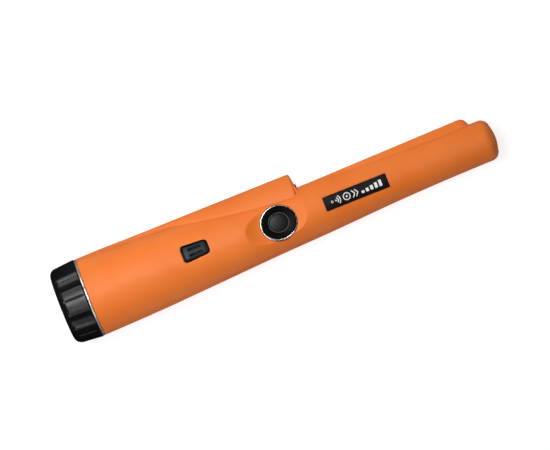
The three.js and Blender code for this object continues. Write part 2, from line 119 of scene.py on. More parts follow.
# the ridge between the step and the tip
RIDGE_END_X = 224.8
RIDGE_CREST, RIDGE_LAND = 13.0, 13.02  # heights over the axis at the step: its crest, the flat under it
RIDGE_RISE = 2.0
RIDGE_NOSE, RIDGE_NOSE_DROP = 4.6, 6.0
RIDGE_HALF_WIDTH, RIDGE_NARROWING = 6.0, 4.4
RIDGE_TAPER_X, RIDGE_TAPER_LENGTH = 150, 68
RIDGE_DRAFT = 0.35
CREASE_DEPTH, CREASE_WIDTH = 0.16, 0.3  # the line at the fin's foot
RIDGE_CREASE = 0.4  # the line at the ridge's foot, as a share of the fin's

# button, outlet, label
BUTTON_X, BUTTON_Z = 117.3, 13.0
BUTTON_LEAN = math.radians(2.7)
BEZEL_SHIFT = (0.2, 0.24)  # the bezel sits a little off the rim's middle, towards the tip and the fin
DISH_FLAT_RADIUS, DISH_REACH = 9.5, 24
OUTLET_X, OUTLET_Y = 73.35, 2.65
OUTLET_LENGTH, OUTLET_WIDTH, OUTLET_CORNER = 14.3, 9.3, 2.0
OUTLET_LIP_WIDTH, OUTLET_LIP_DEPTH = 0.55, 0.22  # how the housing rounds off into the outlet's opening
LABEL_X, LABEL_LENGTH, LABEL_WIDTH = 159.15, 34.0, 7.25

# the cap
CAP_LENGTH, CAP_RADIUS, CAP_CORNER = 14.1, 20.4, 4.0
CAP_END_RADIUS, CAP_FLARE = 20.25, 0.088  # at the corner of its outer face, and its growth per millimetre
FLUTE_CENTRE, FLUTE_RADIUS = 26.6, 7.6
NOTCH_DEPTH, NOTCH_WIDTH, NOTCH_OFFSET = 0.45, 0.018, 0.075  # the last two in radians
THREAD_PITCH, THREAD_HEIGHT = 3.0, 0.45
THREAD_START_X, THREAD_END_X = 17.4, 23.6


def smooth_through(points):
    """A smooth curve through the points, as a function."""
    px, py = np.array(points, float).T
    slopes = np.gradient(py, px)

    def value(x):
        x = np.clip(x, px[0], px[-1])
        i = np.clip(np.searchsorted(px, x, side="right") - 1, 0, len(px) - 2)
        h = px[i + 1] - px[i]
        t = (x - px[i]) / h
        a = py[i] * (1 + 2 * t) * (1 - t) ** 2 + py[i + 1] * t * t * (3 - 2 * t)
        return a + h * (slopes[i] * t * (1 - t) ** 2 - slopes[i + 1] * t * t * (1 - t))

    return value


body_radius = smooth_through(BODY_RADII)


def smooth_max(a, b, k):
    """The larger of two, rounded over a width k where they meet."""
    h = np.clip(k - np.abs(a - b), 0, None) / k
    return np.maximum(a, b) + h * h * k / 4


def smooth_min(a, b, k):
    """The smaller of two, rounded over a width k where they meet."""
    return -smooth_max(-a, -b, k)


def ease(x, low, high):
    """A soft step from 0 at low to 1 at high."""
    t = np.clip((x - low) / (high - low), 0, 1)
    return t * t * (3 - 2 * t)


# ---------------------------------------------------------------- the housing's outer surface

FAR = 60  # beyond every surface of the probe


def fin_radius(x, cos_a, sin_a):
    """How far the fin's round bar reaches from the axis, in the direction with these cosines to Y."""
    crest = FIN_CREST + FIN_RISE * (x - MOUTH_X)
    grown = 1 - np.exp(-np.clip(x - FIN_BAR_START_X, 0, None) / FIN_BAR_GROWTH)
    bar = np.maximum(FIN_BAR_LEAST, FIN_BAR * grown)
    centre = crest - bar
    edge_x = STEP_X - (crest - LIGHT_Y) * STEP_LEAN
    turn = np.clip((x - (edge_x - FIN_CORNER)) / FIN_CORNER, 0, 1)
    bar = bar - FIN_CORNER * (1 - np.sqrt(np.clip(1 - turn**2, 0, 1)))
    inside = bar**2 - (centre * sin_a) ** 2
    far_side = centre * cos_a + np.sqrt(np.clip(inside, 0, None))
    reach = np.where((inside > 0) & (cos_a > 0), far_side, 0)
    top = LIGHT_Y + (STEP_X - x) / STEP_LEAN  # the leaning end face, as a height over the axis
    face = np.where(cos_a > 0.02, np.clip(top, 0, FAR) / np.clip(cos_a, 0.02, None), FAR)
    return smooth_min(reach, face, 0.9)


def ridge_rise(x):
    """How much higher the ridge lies at x than at the step."""
    return (x - STEP_X) * RIDGE_RISE / (RIDGE_END_X - STEP_X)


def ridge_radius(x, cos_a, sin_a):
    """The narrow strip between the step and the tip: a flat crest with sloping sides and a round end."""
    crest = RIDGE_CREST + ridge_rise(x)
    fall = np.clip((x - (RIDGE_END_X - RIDGE_NOSE)) / RIDGE_NOSE, 0, 1)
    crest = crest - RIDGE_NOSE_DROP * (1 - np.sqrt(np.clip(1 - fall**2.4, 0, 1)))
    crest = np.where(x > RIDGE_END_X, 0, crest)
    half = RIDGE_HALF_WIDTH - RIDGE_NARROWING * np.clip((x - RIDGE_TAPER_X) / RIDGE_TAPER_LENGTH, 0, 1)
    flat = crest / np.clip(cos_a, 0.05, None)
    lean = np.abs(sin_a) + RIDGE_DRAFT * np.clip(cos_a, 0, None)
    side = (half + RIDGE_DRAFT * crest) / lean
    return np.where(cos_a > 0.05, smooth_min(flat, side, 1.6), 0)


def outlet_taper(dx):
    """The outlet narrows towards the tip: its half-width's share of the greatest, at dx from its middle."""
    return 0.9 - 0.013 * dx


def outlet_distance(x, y):
    """How far outside the sound outlet's outline a point is."""
    half_width = OUTLET_WIDTH / 2 * outlet_taper(x - OUTLET_X)
    dx = np.abs(x - OUTLET_X) - (OUTLET_LENGTH / 2 - OUTLET_CORNER)
    dy = np.abs(y - OUTLET_Y) - (half_width - OUTLET_CORNER)
    outside = np.hypot(np.clip(dx, 0, None), np.clip(dy, 0, None))
    return outside + np.minimum(np.maximum(dx, dy), 0) - OUTLET_CORNER


def dish_height(x, y):
    """The surface of the dish round the button."""
    dx = x - BUTTON_X
    rise = np.clip(np.hypot(dx, y) - DISH_FLAT_RADIUS, 0, None)
    return BUTTON_Z + 0.26 * rise + 0.019 * rise**2 - 0.007 * dx


def crease(gap):
    """A shallow line where two surfaces of the housing meet."""
    return CREASE_DEPTH * np.exp(-((gap / CREASE_WIDTH) ** 2))


def outer_radius(x, base, angle):
    """The housing's radius at x, for angles from Y round towards Z."""
    cos_a, sin_a = np.cos(angle), np.sin(angle)
    land = (RIDGE_LAND + ridge_rise(x)) / np.clip(cos_a, 0.05, None)
    land = np.where((cos_a > 0.05) & (x > STEP_X - 3), land, FAR)
    r = smooth_min(base, land, 0.8)
    ridge = ridge_radius(x, cos_a, sin_a) * (x > STEP_X - 4)
    r = smooth_max(r, ridge, 0.3) - RIDGE_CREASE * crease(r - ridge)
    fin = fin_radius(x, cos_a, sin_a)
    soft = ease(x, MOUTH_X, FIN_SOFT_X) * (1 - ease(x, *FIN_SHARP_X))
    blend = smooth_max(r, fin - 0.08 * soft, 0.3 + 1.5 * soft)
    r = np.where(x < STEP_X + 3, blend - crease(r - fin) * ease(x, *FIN_CREASE_X), r)
    top = sin_a > 0.3
    for _ in range(3):  # the cut depends on the radius, and the radius on the cut
        cut = dish_height(x, r * cos_a) / np.clip(sin_a, 0.3, None)
        near = top & (np.hypot(x - BUTTON_X, r * cos_a) < DISH_REACH)
        r = np.where(near, smooth_min(r, cut, 0.3), r)
    lip = np.clip(1 - outlet_distance(x, r * cos_a) / OUTLET_LIP_WIDTH, 0, 1) * top
    return r - OUTLET_LIP_DEPTH * lip**2


SKIP = 4  # the inner skin has one line for every fourth of the outer skin
AROUND = 144  # steps of the outer skin round one half
SPANS = [  # from, to and step of the outer skin's rings
    (15.9, 64.0, 1.1), (64.0, 83.0, 0.42), (83.0, 98.0, 1.0), (98.0, 128.6, 0.5),
    (128.6, 133.6, 0.125), (133.6, 138.0, 0.4), (138.0, 214.0, 1.1), (214.0, TIP_START_X, 0.33),
]


def stations():
    """Places along the housing and the body's radius at each, closer where the shape changes fast."""
    xs = [MOUTH_X, MOUTH_X + 0.08, MOUTH_X + 0.22]
    radii = [20.05, 20.28, 20.4]  # the mouth's rounded rim
    for low, high, step in SPANS:
        for x in np.arange(low, high - 1e-6, step):
            xs.append(x)
            radii.append(float(body_radius(x)))
    tip_radius = float(body_radius(TIP_START_X))
    corner_x = TIP_X - TIP_DOME - TIP_CORNER
    for deg in np.arange(0, 84.1, 6):
        a = math.radians(deg)
        xs.append(corner_x + TIP_CORNER * math.sin(a))
        radii.append(tip_radius - TIP_CORNER + TIP_CORNER * math.cos(a))
    last_x, last_r = xs[-1], radii[-1]
    for t in (0.8, 0.6, 0.4, 0.2):
        xs.append(TIP_X - (TIP_X - last_x) * t * t)
        radii.append(last_r * t)
    while len(xs) % SKIP != 0:
        xs.insert(3, (xs[2] + xs[3]) / 2)
        radii.insert(3, float(body_radius(xs[3])))
    return np.array(xs), np.array(radii)


# ---------------------------------------------------------------- meshes

def put_in_scene(name, data):
    """A new object that holds the mesh, light or camera."""
    piece = bpy.data.objects.new(name, data)
    bpy.context.scene.collection.objects.link(piece)
    return piece


def place(name, verts, faces, material, sharp_deg=35):
    """A mesh object from the probe's millimetres, smooth but for its real edges."""
    mesh = bpy.data.meshes.new(name)
    mesh.from_pydata([tuple(v) for v in verts], [], [tuple(f) for f in faces])
    finish_mesh(mesh, sharp_deg)
    mesh.transform(PROBE)
    piece = put_in_scene(name, mesh)
    piece.data.materials.append(material)
    return piece


def finish_mesh(mesh, sharp_deg):
    """Joins double points, turns the faces outwards, and smooths all but the sharp edges."""
    bm = bmesh.new()
    bm.from_mesh(mesh)
    bmesh.ops.remove_doubles(bm, verts=bm.verts, dist=1e-4)
    bmesh.ops.dissolve_degenerate(bm, edges=bm.edges, dist=1e-5)
    bmesh.ops.recalc_face_normals(bm, faces=bm.faces)
    bm.to_mesh(mesh)
    bm.free()
    mesh.shade_smooth()
    mesh.set_sharp_from_angle(angle=math.radians(sharp_deg))


def carve(piece, *cutters, sharp_deg=35):
    """Cuts each cutter out of the piece, and removes the cutters."""
    for cutter in cutters:
        modifier = piece.modifiers.new("cut", "BOOLEAN")
        modifier.operation = "DIFFERENCE"
        modifier.solver = "EXACT"
        modifier.object = cutter
        bpy.context.view_layer.update()
        graph = bpy.context.evaluated_depsgraph_get()
        mesh = bpy.data.meshes.new_from_object(piece.evaluated_get(graph))
        piece.modifiers.clear()
        piece.data = mesh
        bpy.data.objects.remove(cutter)
    piece.data.shade_smooth()
    piece.data.set_sharp_from_angle(angle=math.radians(sharp_deg))


def rings_to_faces(count, size, closed=True, first=0):
    """Quads between neighbouring rings of the same size."""
    faces = []
    steps = size if closed else size - 1
    for i in range(count - 1):
        for j in range(steps):
            k = (j + 1) % size
            a, b = first + i * size, first + (i + 1) * size
            faces.append((a + j, a + k, b + k, b + j))
    return faces


def turned_faces(count, sides, loop):
    """Faces between the rings of a turned solid. In a loop, the last ring joins the first."""
    faces = rings_to_faces(count, sides)
    if loop:
        last = (count - 1) * sides
        faces += [(last + j, last + (j + 1) % sides, (j + 1) % sides, j) for j in range(sides)]
    return faces


def turned_x(name, profile, material, sides=160, y=0.0, sharp_deg=35, wobble=None):
    """A closed solid turned about the probe's axis, or about a line beside it at y.

    The profile's (x, radius) points end on the axis, or make a closed loop. wobble(x, radius, angle)
    gives the radius of a solid that isn't round.
    """
    verts = []
    for x, radius in profile:
        for j in range(sides):
            a = 2 * math.pi * j / sides
            r = radius if wobble is None else wobble(x, radius, a)
            verts.append((x, y + r * math.cos(a), r * math.sin(a)))
    faces = turned_faces(len(profile), sides, loop=profile[0][1] > 1e-6)
    return place(name, verts, faces, material, sharp_deg)


def on_button(dx, dy, dz):
    """A point given from the button's middle, in its leaning frame."""
    c, s = math.cos(BUTTON_LEAN), math.sin(BUTTON_LEAN)
    return BUTTON_X + c * dx + s * dz, dy, BUTTON_Z - s * dx + c * dz


def turned_button(name, profile, material, oval_of, shift_of=lambda r: 1.0):
    """A solid turned about the button's leaning axis, from (radius, z) points.

    oval_of(radius) gives each ring's squeeze in Y, and shift_of(radius) its share of the bezel's shift.
    """
    verts = []
    sides = 160
    for radius, z in profile:
        oval = oval_of(radius)
        shift_x, shift_y = [shift_of(radius) * shift for shift in BEZEL_SHIFT]
        for j in range(sides):
            a = 2 * math.pi * j / sides
            dx, dy = shift_x + radius * math.cos(a), shift_y + radius * math.sin(a) * oval
            verts.append(on_button(dx, dy, z - BUTTON_Z))
    faces = turned_faces(len(profile), sides, loop=profile[0][0] > 1e-6)
    return place(name, verts, faces, material)


def arc(cx, cy, radius, from_deg, to_deg, steps):
    """Points of an arc, as (first, second) pairs."""
    angles = np.radians(np.linspace(from_deg, to_deg, steps + 1))
    return [(cx + radius * math.cos(a), cy + radius * math.sin(a)) for a in angles]


def rounded_rectangle(length, width, corner):
    """The outline of a rectangle with rounded corners, as points."""
    points = []
    for i, (sx, sy) in enumerate([(1, 1), (-1, 1), (-1, -1), (1, -1)]):
        cx, cy = sx * (length / 2 - corner), sy * (width / 2 - corner)
        points += arc(cx, cy, corner, 90 * i, 90 * (i + 1), 6)
    return points


def prism(name, outline, x, y, z0, z1):
    """An upright prism, used as a cutter."""
    n = len(outline)
    verts = [(x + px, y + py, z) for z in (z0, z1) for px, py in outline]
    faces = rings_to_faces(2, n) + [tuple(range(n)), tuple(range(n, 2 * n))]
    mesh = bpy.data.meshes.new(name)
    mesh.from_pydata(verts, [], faces)
    finish_mesh(mesh, 30)
    mesh.transform(PROBE)
    return put_in_scene(name, mesh)


# ---------------------------------------------------------------- materials

class Nodes:
    """A short way to write a material's node graph."""

    def __init__(self, name):
        self.material = bpy.data.materials.new(name)
        self.material.use_nodes = True
        self.tree = self.material.node_tree
        self.shader = self.tree.nodes["Principled BSDF"]
        self.place = self.add("ShaderNodeTexCoord").outputs["Object"]

    def add(self, kind, **settings):
        """A new node with these settings."""
        node = self.tree.nodes.new(kind)
        for key, value in settings.items():
            setattr(node, key, value)
        return node

    def link(self, source, target):
        self.tree.links.new(source, target)

    def noise(self, scale, detail=3.0, rough=0.5, stretch=None):
        """Noise over the piece's own coordinates, which are in metres."""
        node = self.add("ShaderNodeTexNoise")
        node.inputs["Scale"].default_value = scale
        node.inputs["Detail"].default_value = detail
        node.inputs["Roughness"].default_value = rough
        self.link(self.stretched(stretch), node.inputs["Vector"])
        return node.outputs["Fac"]

    def stretched(self, stretch):
        if stretch is None:
            return self.place
        node = self.add("ShaderNodeMapping")
        node.inputs["Scale"].default_value = stretch
        self.link(self.place, node.inputs["Vector"])
        return node.outputs["Vector"]

    def spread(self, value, from_low, from_high, to_low=0.0, to_high=1.0):
        """The value, stretched from one range to another."""
        node = self.add("ShaderNodeMapRange")
        for key, number in zip(
            ("From Min", "From Max", "To Min", "To Max"), (from_low, from_high, to_low, to_high)
        ):
            node.inputs[key].default_value = number
        self.link(value, node.inputs["Value"])
        return node.outputs["Result"]

    def mix(self, factor, a, b):
        """A colour between a and b, which are colours or sockets."""
        node = self.add("ShaderNodeMix", data_type="RGBA")
        self.link(factor, node.inputs["Factor"])
        for socket, value in (("A", a), ("B", b)):
            target = [i for i in node.inputs if i.name == socket and i.type == "RGBA"][0]
            if isinstance(value, tuple):
                target.default_value = (*value, 1)
            else:
                self.link(value, target)
        return [o for o in node.outputs if o.type == "RGBA"][0]

    def math(self, operation, a, b):
        node = self.add("ShaderNodeMath", operation=operation)
        for i, value in enumerate((a, b)):
            if isinstance(value, (int, float)):
                node.inputs[i].default_value = value
            else:
                self.link(value, node.inputs[i])
        return node.outputs["Value"]

    def edges(self, low, high):
        """How sharp the surface's outward edges are, from 0 to 1."""
        return self.spread(self.add("ShaderNodeNewGeometry").outputs["Pointiness"], low, high)

    def bump(self, height, distance, under=None):
        """A normal for the height, on top of the normal under it."""
        node = self.add("ShaderNodeBump")
        node.inputs["Distance"].default_value = distance
        node.inputs["Strength"].default_value = 1.0
        self.link(height, node.inputs["Height"])
        if under is not None:
            self.link(under, node.inputs["Normal"])
        return node.outputs["Normal"]

    def set(self, **values):
        """Sets the shader's sockets to numbers, colours or other sockets, and gives the material."""
        for key, value in values.items():
            socket = self.shader.inputs[key.replace("_", " ")]
            if isinstance(value, (int, float)):
                socket.default_value = value
            elif isinstance(value, tuple):
                socket.default_value = (*value, 1)
            else:
                self.link(value, socket)
        return self.material


def srgb(r, g, b):
    """An sRGB colour from 0 to 255, as linear light."""
    shares = (r / 255, g / 255, b / 255)
    return tuple(c / 12.92 if c <= 0.04045 else ((c + 0.055) / 1.055) ** 2.4 for c in shares)


def moulded(name, colour, dark, rough, grain_mm, grain_depth, wear=None, specular=0.5):
    """Moulded plastic: a fine grain, patchy gloss, a slight change of colour, and rubbed edges."""
    m = Nodes(name)
    patches = m.spread(m.noise(38, 4.0), 0.35, 0.65)
    base = m.mix(patches, dark, colour)
    specks = m.spread(m.noise(1500, 2.0), 0.62, 0.78)
    base = m.mix(m.math("MULTIPLY", specks, 0.25), base, dark)
    if wear is not None:
        rubbed = m.math("MULTIPLY", m.edges(0.53, 0.60), m.spread(m.noise(420, 5.0), 0.42, 0.62))
        base = m.mix(m.math("MULTIPLY", rubbed, 0.5), base, wear)
    gloss = m.spread(m.noise(90, 5.0), 0.3, 0.7, rough[0], rough[1])
    grain = m.noise(1 / (grain_mm * MM), 2.0, 0.6)
    normal = m.bump(grain, grain_depth * MM)
    waves = m.noise(60, 2.0)
    normal = m.bump(waves, 0.012 * MM, normal)
    return m.set(Base_Color=base, Roughness=gloss, Normal=normal, Specular_IOR_Level=specular)


def metal(name, colour, rough, brushed=None, metallic=1.0):
    """Plated or drawn metal: faint marks along it and a patchy polish."""
    m = Nodes(name)
    marks = m.noise(700, 4.0, 0.6, brushed)
    tint = m.spread(m.noise(160, 3.0), 0.35, 0.7)
    base = m.mix(tint, tuple(c * 0.86 for c in colour), colour)
    gloss = m.spread(marks, 0.3, 0.7, rough[0], rough[1])
    return m.set(Base_Color=base, Metallic=metallic, Roughness=gloss, Normal=m.bump(marks, 0.004 * MM))


def rubber(name, colour, rough=(0.6, 0.85), pore_mm=0.4, depth=0.02):
    """Rubber, foam or a wire's sheath: one dull colour with pores, darker in the pits as painted shade."""
    m = Nodes(name)
    pores = m.noise(1 / (pore_mm * MM), 3.0, 0.6)
    # The darker colour follows the pits of the bump: painted shade in the pores.
    base = m.mix(m.spread(pores, 0.35, 0.65), tuple(c * 0.7 for c in colour), colour)
    gloss = m.spread(pores, 0.3, 0.7, *rough)
    return m.set(Base_Color=base, Roughness=gloss, Normal=m.bump(pores, depth * MM))


def laminate(name):
    """Solder mask over copper tracks."""
    m = Nodes(name)
    tracks = m.add("ShaderNodeTexBrick")
    tracks.inputs["Scale"].default_value = 220
    tracks.inputs["Mortar Size"].default_value = 0.035
    m.link(m.place, tracks.inputs["Vector"])
    base = m.mix(tracks.outputs["Fac"], srgb(18, 84, 50), srgb(40, 120, 70))
    gloss = m.spread(m.noise(200), 0.3, 0.7, 0.3, 0.45)
    return m.set(Base_Color=base, Roughness=gloss, Normal=m.bump(tracks.outputs["Fac"], 0.02 * MM))


def winding(name):
    """Enamelled copper wire, one turn beside the next, darker in the grooves between turns as painted shade."""
    m = Nodes(name)
    turns = m.add("ShaderNodeTexWave", bands_direction="X")
    turns.inputs["Scale"].default_value = 800
    turns.inputs["Distortion"].default_value = 0.4
    m.link(m.place, turns.inputs["Vector"])
    # The darker copper lies in the grooves between the turns: painted shade.
    base = m.mix(turns.outputs["Fac"], srgb(96, 42, 18), srgb(198, 108, 52))
    gloss = m.spread(m.noise(500), 0.3, 0.7, 0.25, 0.4)
    normal = m.bump(turns.outputs["Fac"], 0.06 * MM)
    return m.set(Base_Color=base, Metallic=0.9, Roughness=gloss, Normal=normal)


def clear(name):
    """Clear moulded plastic with a faint haze."""
    m = Nodes(name)
    haze = m.noise(900, 3.0)
    base = m.mix(haze, (0.92, 0.95, 0.97), (1.0, 1.0, 1.0))
    return m.set(
        Base_Color=base, Roughness=m.spread(haze, 0.3, 0.7, 0.03, 0.09), Transmission_Weight=0.85, IOR=1.49,
        Normal=m.bump(haze, 0.003 * MM),
    )


ORANGE = moulded(
    "orange_plastic", srgb(235, 122, 46), srgb(230, 115, 38), (0.44, 0.58), 0.30, 0.010,
    wear=srgb(246, 150, 92), specular=0.34,
)
GLOSS_BLACK = moulded(
    "gloss_black", (0.010, 0.010, 0.011), (0.006, 0.006, 0.007), (0.16, 0.27), 0.5, 0.003,
    wear=(0.035, 0.035, 0.037),
)
CAP_BLACK = moulded(
    "cap_black", (0.009, 0.009, 0.010), (0.005, 0.005, 0.006), (0.20, 0.34), 0.30, 0.016,
    wear=(0.04, 0.04, 0.042), specular=0.34,
)
BEZEL_BLACK = moulded(
    "bezel_black", (0.004, 0.0045, 0.005), (0.003, 0.003, 0.003), (0.18, 0.28), 0.4, 0.003,
    wear=(0.02, 0.02, 0.021), specular=0.04,
)
OUTLET_GREY = moulded(
    "outlet_grey", (0.018, 0.025, 0.028), (0.013, 0.018, 0.020), (0.36, 0.48), 0.25, 0.008,
    wear=(0.05, 0.055, 0.057), specular=0.2,
)
# Light grey for the lip round the button's disc: painted highlight, standing for the light that the disc's edge
# catches.
HIGHLIGHT_LIP_GREY = moulded("painted_highlight_lip_grey", (0.15, 0.145, 0.125), (0.11, 0.107, 0.095), (0.45, 0.6), 0.2, 0.008)
SATIN_BLACK = moulded(
    "satin_black", (0.014, 0.014, 0.015), (0.009, 0.009, 0.010), (0.34, 0.46), 0.25, 0.010,
    wear=(0.04, 0.04, 0.042), specular=0.18,
)
CHROME = metal("bright_chrome", (0.86, 0.86, 0.87), (0.06, 0.16))
TRIM_CHROME = metal("trim_chrome", (0.90, 0.89, 0.87), (0.12, 0.24), metallic=0.72)
RIM_CHROME = metal("rim_chrome", (0.88, 0.87, 0.85), (0.2, 0.3), metallic=0.9)
NICKEL = metal("nickel_plate", (0.62, 0.60, 0.56), (0.22, 0.38))
STEEL = metal("drawn_steel", (0.55, 0.56, 0.58), (0.25, 0.42), (0.2, 1, 1))
RUBBER = rubber("seal_rubber", (0.022, 0.022, 0.022))
FOAM = rubber("black_foam", (0.05, 0.05, 0.052), (0.85, 0.98), 0.6, 0.12)
CAN = moulded(
    "battery_can", srgb(48, 56, 70), srgb(40, 46, 58), (0.25, 0.4), 0.6, 0.004, wear=srgb(150, 152, 158),
)
CHIP = moulded("chip_resin", (0.03, 0.03, 0.032), (0.02, 0.02, 0.021), (0.5, 0.7), 0.12, 0.01)
NYLON = moulded("natural_nylon", srgb(232, 228, 216), srgb(220, 214, 200), (0.4, 0.6), 0.4, 0.01)
FERRITE = moulded("fired_ferrite", (0.045, 0.046, 0.05), (0.03, 0.03, 0.033), (0.45, 0.7), 0.2, 0.02)
RED_WIRE = rubber("red_sheath", srgb(180, 34, 28), (0.35, 0.5), 0.8, 0.01)
BLACK_WIRE = rubber("black_sheath", (0.02, 0.02, 0.02), (0.35, 0.5), 0.8, 0.01)
LAMINATE = laminate("board_laminate")
COPPER = winding("copper_winding")
LENS = clear("clear_lens")
LABEL_BLACK = moulded(
    "label_black", (0.007, 0.007, 0.007), (0.005, 0.005, 0.005), (0.32, 0.42), 0.4, 0.002, specular=0.16,
)
LABEL_WHITE = moulded("label_white", srgb(236, 236, 234), srgb(222, 222, 220), (0.35, 0.5), 0.3, 0.003)

SLOT_MATERIALS = {
    "housing_plastic": ORANGE, "gloss_plastic": GLOSS_BLACK, "satin_plastic": SATIN_BLACK,
    "bright_trim": CHROME, "seal_rubber": RUBBER, "foam": FOAM, "battery_can": CAN,
    "board_laminate": LAMINATE, "chip_resin": CHIP, "nickel": NICKEL, "steel": STEEL,
    "copper_wire": COPPER, "ferrite": FERRITE, "nylon": NYLON, "clear_lens": LENS,
    "label_film": LABEL_BLACK, "red_sheath": RED_WIRE, "black_sheath": BLACK_WIRE,
}
for entry in frame["record"]["subparts"]:
    node = frame["nodes"][entry["node"]]
    node.data.materials.clear()
    node.data.materials.append(SLOT_MATERIALS[entry["material_slot"]])


# ---------------------------------------------------------------- housing halves

def half_shell(name, start_angle, shift):
    """One half of the housing, from the fin's crest round to the far side: outer skin, inner skin, rims."""
    xs, base = stations()
    angles = start_angle + np.linspace(0, math.pi, AROUND + 1)
    x_grid, a_grid = np.meshgrid(xs, angles, indexing="ij")
    r_grid = outer_radius(x_grid, base[:, None], a_grid)
    r_grid[-1] = base[-1]
    outer = np.stack([x_grid, r_grid * np.cos(a_grid), r_grid * np.sin(a_grid)], -1)

    pick_x = np.append(np.arange(0, len(xs), SKIP), len(xs) - 1)
    pick_a = np.arange(0, AROUND + 1, SKIP)
    inner_x = np.minimum(xs[pick_x], TIP_X - TIP_WALL)
    inner_r = np.clip(r_grid[np.ix_(pick_x, pick_a)] - WALL, 0.5, None)
    inner_r[0] = inner_r[1]  # the mouth's rounded rim takes nothing off its bore
    inner_x_grid, inner_a = np.meshgrid(inner_x, angles[pick_a], indexing="ij")
    inner = np.stack([inner_x_grid, inner_r * np.cos(inner_a), inner_r * np.sin(inner_a)], -1)

    n_x, n_a = outer.shape[:2]
    m_x, m_a = inner.shape[:2]
    first = n_x * n_a
    tips = first + m_x * m_a
    verts = np.concatenate([outer.reshape(-1, 3), inner.reshape(-1, 3)])
    verts = np.concatenate([verts, [[TIP_X, 0, 0], [TIP_X - TIP_WALL, 0, 0]]])

    def out(i, j):
        return i * n_a + j

    def inn(i, j):
        return first + i * m_a + j

    faces = rings_to_faces(n_x, n_a, closed=False)
    faces += [tuple(reversed(f)) for f in rings_to_faces(m_x, m_a, closed=False, first=first)]
    faces += [(out(n_x - 1, j), out(n_x - 1, j + 1), tips) for j in range(n_a - 1)]
    faces += [(inn(m_x - 1, j + 1), inn(m_x - 1, j), tips + 1) for j in range(m_a - 1)]
    for j_out, j_in in ((0, 0), (n_a - 1, m_a - 1)):
        for k in range(m_x - 1):
            line = [out(i, j_out) for i in range(pick_x[k], pick_x[k + 1] + 1)]
            faces.append((*line, inn(k + 1, j_in), inn(k, j_in)))
        faces.append((out(n_x - 1, j_out), tips, tips + 1, inn(m_x - 1, j_in)))
    for k in range(m_a - 1):
        line = [out(0, j) for j in range(pick_a[k], pick_a[k + 1] + 1)]
        faces.append((*line, inn(0, k + 1), inn(0, k)))
    verts[:, 2] += shift * (1 - ease(verts[:, 0], *SEAM_CLOSES))
    return place(name, verts, faces, ORANGE, 32)


def button_well():
    """A cutter for the oval hole under the button."""
    half_length, half_width = 9.8, 9.26
    sides = 96
    verts = []
    for z in (4.0, 24.0):
        for j in range(sides):
            a = 2 * math.pi * j / sides
            verts.append(on_button(half_length * math.cos(a), half_width * math.sin(a), z - BUTTON_Z))
    faces = rings_to_faces(2, sides) + [tuple(range(sides)), tuple(range(sides, 2 * sides))]
    return place("well_cutter", verts, faces, ORANGE)


def lamp_hole():
    """A cutter for the work light's hole in the fin's end face."""
    back, front, radius = 125, 134, 1.8
    profile = [(back, 0), (back, radius), (front, radius), (front, 0)]
    return turned_x("lamp_cutter", profile, ORANGE, 32, LIGHT_Y)


def patch_mesh(
    half_length, half_width, x, y, lift, depth, corner, crown=0.0, grid=(48, 20), taper=np.ones_like
):
    """A thin patch that follows the body's roundness: a rounded rectangle with its underside.

    It lies lift over the body's surface and is depth thick. A crown rounds off its border.
    """
    nx, ny = grid
    us, vs = np.linspace(-1, 1, nx + 1), np.linspace(-1, 1, ny + 1)
    u, v = np.meshgrid(us, vs, indexing="ij")
    px, py = square_to_rounded(u, v, half_length, half_width, corner)
    py = py * taper(px)
    border_width = 0.25  # the crown's rounding, as a share of the patch's half size
    round_off = crown * np.clip(1 - np.maximum(np.abs(u), np.abs(v)), 0, border_width) / border_width
    radius = body_radius(x + px) + lift
    top = np.sqrt(np.clip(radius**2 - (y + py) ** 2, 0, None)) + np.sqrt(round_off * crown)
    bottom = np.sqrt(np.clip((radius - depth) ** 2 - (y + py) ** 2, 0, None))
    n = (nx + 1) * (ny + 1)
    upper = np.stack([x + px, y + py, top], -1).reshape(-1, 3)
    lower = np.stack([x + px, y + py, bottom], -1).reshape(-1, 3)
    faces = rings_to_faces(nx + 1, ny + 1, closed=False)
    faces += [tuple(reversed([n + i for i in f])) for f in list(faces)]
    border = [i * (ny + 1) for i in range(nx + 1)]
    border += [nx * (ny + 1) + j for j in range(1, ny + 1)]
    border += [i * (ny + 1) + ny for i in range(nx - 1, -1, -1)]
    border += [j for j in range(ny - 1, 0, -1)]
    for a, b in zip(border, border[1:] + border[:1]):
        faces.append((a, b, n + b, n + a))
    return np.concatenate([upper, lower]).tolist(), faces


def skin_patch(name, material, *sizes, **options):
    """A piece made of one patch."""
    return place(name, *patch_mesh(*sizes, **options), material, 40)


def square_to_rounded(u, v, half_length, half_width, corner):
    """Maps a square grid onto a rounded rectangle, edge to edge."""
    px, py = u * half_length, v * half_width
    cx = np.clip(np.abs(px) - (half_length - corner), 0, None)
    cy = np.clip(np.abs(py) - (half_width - corner), 0, None)
    reach = np.hypot(cx, cy)
    most = np.maximum(cx, cy)
    pull = np.where(reach > 1e-9, most / np.clip(reach, 1e-9, None), 1)
    px = np.sign(px) * (np.abs(px) - cx * (1 - pull))
    py = np.sign(py) * (np.abs(py) - cy * (1 - pull))
    return px, py


CUT_HEIGHTS = (6, 26)  # from inside the housing to well over its skin

front = half_shell("housing_front", 0.0, SEAM)
rear = half_shell("housing_rear", math.pi, -SEAM)
outlet_outline = rounded_rectangle(OUTLET_LENGTH, OUTLET_WIDTH, OUTLET_CORNER)
outlet_outline = [(px, py * outlet_taper(px)) for px, py in outlet_outline]
outlet_cutter = prism("outlet_cutter", outlet_outline, OUTLET_X, OUTLET_Y, *CUT_HEIGHTS)
label_cutter = skin_patch(
    "label_cutter", ORANGE, LABEL_LENGTH / 2 + 0.2, LABEL_WIDTH / 2 + 0.2, LABEL_X, 0, 1.5, 2.2, 0.5,
)
carve(front, button_well(), outlet_cutter, label_cutter, lamp_hole(), sharp_deg=32)
carve(rear, lamp_hole(), sharp_deg=32)
for half, node in ((front, "front_shell"), (rear, "rear_shell")):
    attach(half, "housing")
    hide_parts(node)


